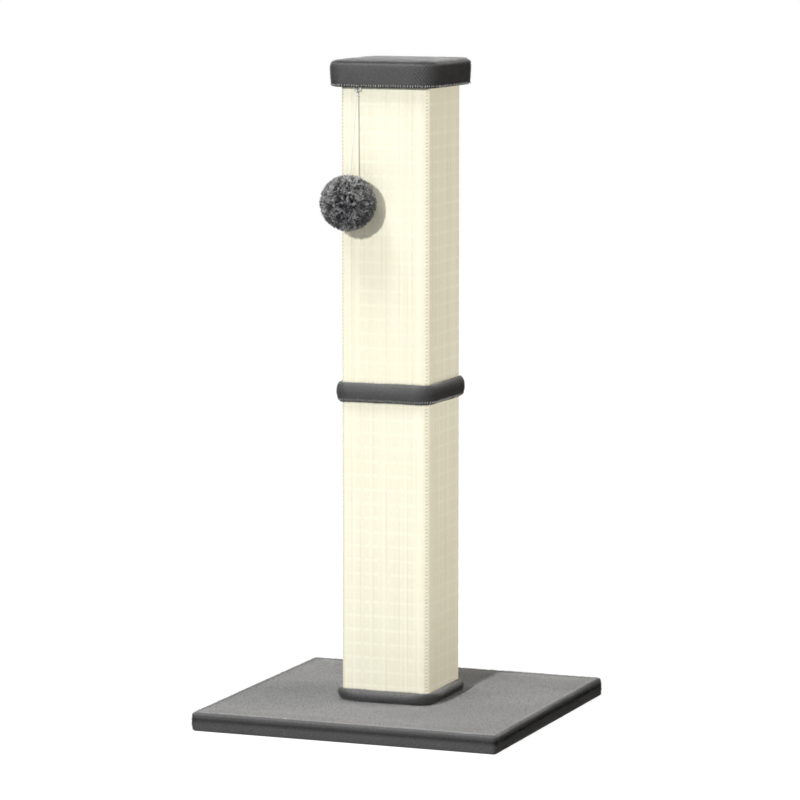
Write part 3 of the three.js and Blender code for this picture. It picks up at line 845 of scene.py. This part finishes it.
def make_collar(name, node, half, corner, roundness, pleat, seed):
    """A padded plush strip round the post, plump outside, flat inside and puckered at its corners."""
    low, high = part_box(node)
    middle = (low.z + high.z) / 2
    height = (high.z - low.z) / 2 - 0.5 * SUNK
    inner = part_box("lower_sisal")[1].x + 0.1 * MM
    plump = half - inner - SUNK * 0.8
    places = even_stations(half, corner, 420)
    turn = places[2] / QUARTER
    pucker = np.sin(turn * math.pi * 6) * np.sin(turn * math.pi)  # only in the corners
    outer = []
    for angle in np.radians(np.linspace(-86, 86, 22)):
        out = max(abs(math.cos(angle)) ** (2 / roundness), 0.1)
        rise = math.copysign(abs(math.sin(angle)) ** (2 / roundness), angle)
        own_corner = POST_CORNER + (corner - POST_CORNER) * out
        level = ring(places, inner + plump * out, own_corner, middle + height * rise)
        level += outwards(places) * (pleat * pucker * abs(rise) ** 3)[:, None]
        outer.append(level)
    outer = np.array(outer)
    random = np.random.default_rng(seed)
    outer[..., 2] += 0.25 * MM * waves(outer, 60 * MM, random)
    inside = rings(places, [(inner, POST_CORNER, middle + side * height * 0.96) for side in (1, -1)])

    def tone(roots, facing):
        # painted light: what faces up lighter still
        return brushed_tone(roots, facing) + 0.7 * np.clip(facing[:, 2], 0, 1) - 0.1

    collar = napped_object(name, outer, inside, tone)
    dress(collar, "collar_plush", "post", node)
    pile(f"{name}_pile", "collar_plush", outer, 1.6, seed + 1, along_sides, tone, 2.0 * MM, 0.42 * MM)
    return outer


def make_collars():
    half = half_width("foot_collar") + 4 * MM  # the soft roll spreads a little over the base
    make_collar("foot_collar_plush", "foot_collar", half, FOOT_CORNER, 2.1, 0.4 * MM, seed=31)
    half = half_width("middle_collar") + MM
    name = "middle_collar_plush"
    skin = make_collar(name, "middle_collar", half, MIDDLE_CORNER, 2.0, 0.6 * MM, seed=41)
    stitches("middle_collar_stitches", skin, row=5, seed=51)


# ---- cap ----


CAP_LOW, CAP_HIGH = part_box("cap_cover")
FOAM_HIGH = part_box("cap_foam")[1]
FOAM_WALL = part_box("cap_board")[1].x + 0.1 * MM  # half the width inside the cap's cloth
FOAM_CORNER = CAP_CORNER - (CAP_HIGH.x - FOAM_WALL)


def cap_skin():
    """Rings of the cap's cloth, from the hem's inner edge, up the side and over the crowned top."""
    half = CAP_HIGH.x - 0.6 * SUNK
    bottom, top = CAP_LOW.z + 0.3 * SUNK, CAP_HIGH.z - SUNK
    crown = 1.6 * MM
    edge_top = top - crown
    places = even_stations(half, CAP_CORNER, 440)
    levels = [(inset, bottom) for inset in np.linspace(CAP_HEM, CAP_HEM_EDGE + CAP_DRAWN_IN, 6)[:-1]]
    levels += rounded(CAP_HEM_EDGE + CAP_DRAWN_IN, bottom + CAP_HEM_EDGE, CAP_HEM_EDGE, -90, 0, 5)
    wall = edge_top - CAP_EDGE - bottom - CAP_HEM_EDGE
    for share in np.linspace(0.05, 0.95, 21):
        drawn = CAP_DRAWN_IN * (1 - math.sin(share * QUARTER))
        levels.append((drawn - 0.2 * MM, bottom + CAP_HEM_EDGE + share * wall))
    levels += rounded(CAP_EDGE, edge_top - CAP_EDGE, CAP_EDGE, 0, 90, 10)
    levels = [(half - inset, max(CAP_CORNER - inset, 1.5 * MM), z) for inset, z in levels]
    for share in (*np.linspace(0.97, 0.03, 24), 0.002):
        z = edge_top + crown * (1 - share**2.5)
        levels.append(((half - CAP_EDGE) * share, (CAP_CORNER - CAP_EDGE) * share, z))
    return places, rings(places, levels)


def off_seam(points):
    """How far points on the outside of the cap are below the seam round its top edge."""
    widest = np.maximum(np.abs(points[..., 0]), np.abs(points[..., 1]))
    well_inside = widest < CAP_HIGH.x - 7 * MM  # the top's middle, which the seam doesn't reach
    return CAP_HIGH.z - CAP_SEAM - points[..., 2] + well_inside * 9 * MM


def creases(points):
    """The slanting creases that run down to the cap's four corners, from -1 to 1. The cloth was drawn
    tightest round the right one of the front's two."""
    middle, spread, pitch = 18 * MM, 12 * MM, 5.2 * MM
    x, y = np.abs(points[..., 0]), np.abs(points[..., 1])
    near = hump(2 * CAP_HIGH.x - x - y, middle, spread)  # in a band that far from the corner
    tight = np.where((points[..., 0] > 0) & (points[..., 1] < 0), 1.0, 0.3) * np.where(x > y, 0.5, 1.0)
    slanting = x - y + points[..., 2]
    uneven = 0.9 * np.sin(points[..., 2] / (7 * MM)) + 0.8 * np.sin(slanting / (9 * MM))
    return near * tight * np.sin(slanting * TURN / pitch + uneven)


def pucker_cap(grid):
    """The cloth's folds: creases at the corners, and a seam sunk round the top's edge."""
    random = np.random.default_rng(61)
    fold = 0.5 * MM * creases(grid) + waves(grid, 34 * MM, random) * 0.2 * MM
    fold -= 0.6 * MM * hump(off_seam(grid), 0, 1.1 * MM)
    outside = grid[..., 2] > CAP_LOW.z + 2 * MM
    return grid + grid_normals(grid) * (fold * outside)[..., None]


def over_foam(half, clear, start, end, steps):
    """The half width, corner and height of each ring round the foam's upper edge, from angle to angle."""
    edge, side_top = CAP_EDGE - 2.5 * MM, FOAM_HIGH.z - 1.6 * MM
    arc = rounded(edge, side_top - edge, edge, start, end, steps)
    return [(half - inset, max(FOAM_CORNER - inset, MM), z + clear) for inset, z in arc]


def make_cap():
    """The plush cap over its board and foam."""
    places, smooth = cap_skin()
    outer = pucker_cap(smooth)
    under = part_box("cap_board")[0].z - CLEAR
    levels = [(0.002 * FOAM_WALL, 0.03 * MM, FOAM_HIGH.z + 0.2 * MM)]
    levels += [(FOAM_WALL / 2, FOAM_CORNER / 2, FOAM_HIGH.z - 0.5 * MM)]
    levels += over_foam(FOAM_WALL, 0.2 * MM, 90, 0, 4)
    levels += [(FOAM_WALL, FOAM_CORNER, under), (CAP_HIGH.x - CAP_HEM, 1.5 * MM, under)]

    def shows(roots, facing):
        return (facing[:, 2] > -0.75) & (np.abs(off_seam(roots)) > 0.5 * MM)

    def tone(roots, facing):
        seam = off_seam(roots)
        # painted shade in the sunk seam, and a painted highlight on the ridge just below it
        painted_seam_light = 0.4 * hump(seam, 2.4 * MM, 0.8 * MM) - 0.7 * hump(seam, 0, 1.2 * MM)
        up, down = np.clip(facing[:, 2], 0, 1), np.clip(-facing[:, 2], 0, 1)
        welded_dots_and_painted_hem_light = 0.08 * up - 0.5 * down  # painted light on what faces up, painted shade on what faces down, along the hem's edge
        # painted shade and light along the creases as well
        return brushed_tone(roots, facing) + painted_seam_light + welded_dots_and_painted_hem_light + 0.3 * creases(roots) - 0.06

    cover = napped_object("cap_plush", outer, rings(places, levels), tone)
    dress(cover, "cap_plush", "post", "cap_cover")
    pile("cap_pile", "cap_plush", outer, 1.15, 62, along_sides, tone, length=2.1 * MM, keep=shows)
    stitches("cap_hem_stitches", outer, row=9, seed=63)


def make_foam():
    """The foam pad between the cap's board and its cloth."""
    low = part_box("cap_foam")[0].z
    places = even_stations(FOAM_HIGH.x, FOAM_CORNER, 160)
    half = FOAM_HIGH.x - 0.1 * MM
    centre, halfway = (0.02 * half, 0.3 * MM), (0.5 * half, FOAM_CORNER / 2)
    levels = [(*centre, low), (*halfway, low), (half, FOAM_CORNER, low)]
    levels += over_foam(half, 0, 0, 90, 6)
    levels += [(*halfway, FOAM_HIGH.z - 0.7 * MM), (*centre, FOAM_HIGH.z)]
    foam = wrapped_object("cap_foam_pad", rings(places, levels))
    dress(foam, "foam", "post", "cap_foam")


# ---- toy ----


BALL_MIDDLE = middle_of("ball_stuffing")
BALL_RADIUS = half_width("ball_cover")
BALL_CLOTH = BALL_RADIUS - 0.72 * BALL_CURLS  # radius of the cloth that the curls stand on
UP_CORD = unit(np.array(joints["ball_spin"]["axis"], float))
SIDEWAYS = np.array([1.0, 0, 0])
AWAY = np.cross(SIDEWAYS, UP_CORD)  # square to the cord, in the plane that it leans in
TOY_AXES = np.array([SIDEWAYS, AWAY, UP_CORD])


def knotted(name, middle, size, thick, winds):
    """A knot as a closed winding of cord, twice about its middle."""
    t = even_angles(160)
    ringed = size * (1 + 0.42 * np.cos(winds * t))
    line = np.stack([ringed * np.cos(2 * t), ringed * np.sin(2 * t), size * 0.62 * np.sin(winds * t)], 1)
    return braided_tube(name, middle + line @ TOY_AXES, thick, closed=True, sides=10)


def make_cord():
    """The toy's cord, from the knot under the staple to the tie in the ball, with its loop and knot."""
    knot_at, loop_at, tie_at = middle_of("cord_knot"), middle_of("cord_loop"), middle_of("ball_tie")
    into_knot, into_tie, step = 2.1 * MM, 2.7 * MM, 0.5 * MM
    start = knot_at - UP_CORD * into_knot
    end = tie_at + UP_CORD * into_tie
    steps = round(np.linalg.norm(start - end) / step)
    line = start + (end - start) * np.linspace(0, 1, steps)[:, None]
    cord = braided_tube("toy_cord_braid", line, CORD_RADIUS)
    dress(cord, "white_cord", "cord", "toy_cord")

    eye = loop_at + LOOP_RADIUS * turned(UP_CORD, AWAY, 48)
    loop = braided_tube("cord_loop_eye", eye, CORD_RADIUS, closed=True)
    dress(loop, "white_cord", "loop", "cord_loop")

    knot = knotted("cord_overhand_knot", knot_at, 0.85 * MM, 0.62 * MM, winds=3)
    dress(knot, "white_cord", "cord", "cord_knot")
    tie = knotted("ball_tie_knot", tie_at, 1.15 * MM, 0.72 * MM, winds=5)
    dress(tie, "white_cord", "ball", "ball_tie")


def spread_points(count):
    """Directions spread evenly over a sphere."""
    k = np.arange(count)
    z = 1 - 2 * (k + 0.5) / count
    turn = k * math.pi * (3 - math.sqrt(5))
    level = np.sqrt(1 - z**2)
    return np.stack([level * np.cos(turn), level * np.sin(turn), z], 1)


def sphere_rings(radius, mouth, columns, rows):
    """Rings about the cord's line and the ball's middle, from the mouth at the top to the bottom."""
    polar = np.linspace(math.asin(mouth / radius), math.pi - 0.002, rows)[:, None, None]
    across = turned(SIDEWAYS, AWAY, columns)
    return BALL_MIDDLE + radius * (np.sin(polar) * across + np.cos(polar) * UP_CORD)


def make_ball_skin(random):
    """The cloth that the curls stand on, nearly black as painted shade between them."""
    outer = sphere_rings(BALL_CLOTH, BALL_MOUTH, 96, 64)
    outer += unit(outer - BALL_MIDDLE) * (waves(outer, 9 * MM, random) * 0.5 * MM)[..., None]
    inner = sphere_rings(BALL_RADIUS - BALL_CURLS + CLEAR, BALL_MOUTH, 96, 24)
    grid = np.concatenate([outer[::-1], inner])
    skin = wrapped_object("ball_skin", grid, shade=np.zeros(grid[..., 0].size))
    dress(skin, "curly_pile", "ball", "ball_cover")


def make_curls(random):
    """Thousands of short curls in tufts, each tuft with its own shade, paler to the top as painted light."""
    tufts, each, steps = 1240, 6, 9
    thick, thin = 0.5, 0.24  # radius of a curl at its root and its end, in millimetres
    centres = spread_points(tufts)
    off_cord = np.sin(np.arccos(centres[:, 2])) * BALL_CLOTH
    centres = centres[(off_cord > BALL_MOUTH + 1.5 * MM) | (centres[:, 2] < 0)]
    tufts = len(centres)
    centres = unit(centres @ TOY_AXES + random.normal(size=(tufts, 3)) * 0.03)
    tone_and_painted_top_light = 0.1 + 0.15 * waves(centres * BALL_RADIUS, 22 * MM, random) + random.normal(0, 0.32, tufts)
    tone_and_painted_top_light += 0.65 * np.clip(centres[:, 2], 0, 1)  # painted light: the top is paler
    centre = np.repeat(centres, each, 0)
    count = len(centre)
    spot = unit(centre + random.normal(size=(count, 3)) * 0.05)
    root = spot * (BALL_CLOTH - 0.3 * MM)
    end = centre * (BALL_RADIUS - random.uniform(0.3, 2.6, (count, 1)) * MM)
    end += random.normal(size=(count, 3)) * 1.3 * MM
    axis = unit(end - root)
    side = unit(np.cross(axis, random.normal(size=(count, 3))))
    other = np.cross(axis, side) * random.choice([-1, 1], (count, 1))
    t = np.linspace(0, 1, steps)[None, :, None]
    width = random.uniform(0.5, 1.3, (count, 1, 1)) * MM
    turns = random.uniform(0.8, 1.5, (count, 1, 1)) * TURN
    wind = width * np.minimum(1, 2.5 * t)
    paths = root[:, None] + (end - root)[:, None] * t
    paths += side[:, None] * wind * np.cos(turns * t) + other[:, None] * wind * np.sin(turns * t)
    away = np.linalg.norm(paths, axis=2, keepdims=True)
    paths = BALL_MIDDLE + paths * np.minimum(1, (BALL_RADIUS - 0.1 * MM) / away)
    radii = np.repeat(np.linspace(thick, thin, steps)[None] * MM, count, 0)
    tip = np.repeat(t[..., 0], count, 0)
    shade = np.repeat(tone_and_painted_top_light, each) + random.normal(0, 0.3, count)
    shade = np.repeat(np.clip(shade, 0, 1)[:, None], steps, 1)
    for number in (0, 1):  # two pieces, each with half of the curls; two pieces, each of a size that tools can handle
        own = slice(number, None, 2)
        name = f"ball_curls_{number + 1}"
        curls = strands(name, paths[own], radii[own], 3, axis[own], tip=tip[own], shade=shade[own])
        dress(curls, "curly_pile", "ball")


def make_filling(random):
    """The lump of filling in the ball, a little smaller than the room for it."""
    grid = sphere_rings(half_width("ball_stuffing") - 0.3 * MM, 0.05 * MM, 64, 48)
    lumps = waves(grid, 12 * MM, random) * 0.3 * MM
    grid += unit(grid - BALL_MIDDLE) * (lumps - 0.4 * MM)[..., None]
    wad = wrapped_object("ball_filling", grid[::-1])
    dress(wad, "wadding", "ball", "ball_stuffing")


def make_ball():
    """The ball. Its three parts draw their random numbers one after the other."""
    random = np.random.default_rng(71)
    make_ball_skin(random)
    make_curls(random)
    make_filling(random)


# ---- light and floor ----


def area_light(name, azimuth, elevation, distance, size, level, height=0.4, colour=(1, 1, 1)):
    """A square lamp that faces the post at that height. Azimuth 0 is in front and runs to the right, and
    level is how bright it shows a white surface that faces it there."""
    lamp = bpy.data.lights.new(name, "AREA")
    lamp.shape = "SQUARE"
    lamp.size = size
    lamp.energy = level * (math.pi * distance) ** 2
    lamp.color = colour
    made = link(name, lamp)
    a, e = math.radians(azimuth), math.radians(elevation)
    back = np.array([math.sin(a) * math.cos(e), -math.cos(a) * math.cos(e), math.sin(e)])
    made.location = np.array([0, 0, height]) + back * distance
    made.rotation_euler = (QUARTER - e, 0, a)


def sees_white(tree):
    """A number that is 1 on the rays that see the white background: from the camera and off or through
    the shiny parts."""
    total = 0
    for ray in ("Camera", "Glossy", "Transmission"):
        inputs = {0: total, 1: new_node(tree, "LightPath", output=f"Is {ray} Ray")}
        total = new_node(tree, "Math", inputs, operation="MAXIMUM")
    return total


AMBIENT = 0.14  # the light that comes from everywhere, where white gives 1
WARM = (1, 0.935, 0.85)  # a room's light from the side


def make_world():
    world = bpy.data.worlds.new("studio")
    bpy.context.scene.world = world
    world.use_nodes = True
    tree = world.node_tree
    background = tree.nodes["Background"].inputs
    strength = new_node(tree, "MapRange", {"Value": sees_white(tree), "To Min": AMBIENT, "To Max": 1.0})
    give(tree, background["Color"], (1, 1, 1, 1))
    give(tree, background["Strength"], strength)


def make_floor():
    """A plain pale floor that shows white, with a faint shadow of the post."""
    shadow, glow = 0.3, 0.94  # what shows of the lamps' light, and what the floor gives off itself
    points = 6.0 * np.array([(-1, -1, 0), (1, -1, 0), (1, 1, 0), (-1, 1, 0)])
    floor = mesh_object("floor", points, np.array([[0, 1, 2, 3]]))
    material = bpy.data.materials.new("floor")
    material.use_nodes = True
    tree = material.node_tree
    tree.nodes.remove(tree.nodes["Principled BSDF"])
    plain = new_node(tree, "BsdfDiffuse", {"Color": grey(205)})
    shaded = new_node(tree, "BsdfDiffuse", {"Color": (shadow, shadow, shadow, 1)})
    glowing = new_node(tree, "Emission", {"Strength": glow})
    seen = new_node(tree, "AddShader", {0: shaded, 1: glowing})
    choice = new_node(tree, "MixShader", {0: sees_white(tree), 1: plain, 2: seen})
    give(tree, tree.nodes["Material Output"].inputs["Surface"], choice)
    floor.data.materials.append(material)


def make_lights():
    area_light("key", -2, 18, distance=9.0, size=0.35, level=0.62)
    area_light("high_key", -24, 62, distance=8.0, size=3.2, level=0.44)
    area_light("side_fill", 106, 4, distance=2.4, size=1.2, level=0.62, height=0.1, colour=WARM)
    area_light("front_fill", 10, 5, distance=1.7, size=1.0, level=0.075, height=0.05)
    area_light("back_fill", 238, 8, distance=4.0, size=1.6, level=0.24)


# ---- scene ----

make_camera()
make_cord()
make_ball()
make_cap()
make_foam()
make_collars()
make_sisal("lower_sisal_mat", "lower_sisal", 21)
make_sisal("upper_sisal_mat", "upper_sisal", 22)
make_base()
make_lining()

for piece in frame["record"]["subparts"]:
    node = nodes[piece["node"]]
    if not node.hide_render:
        looks[piece["material_slot"]].put_on(node)

make_world()
make_floor()
make_lights()
bpy.context.scene.view_settings.view_transform = "Standard"
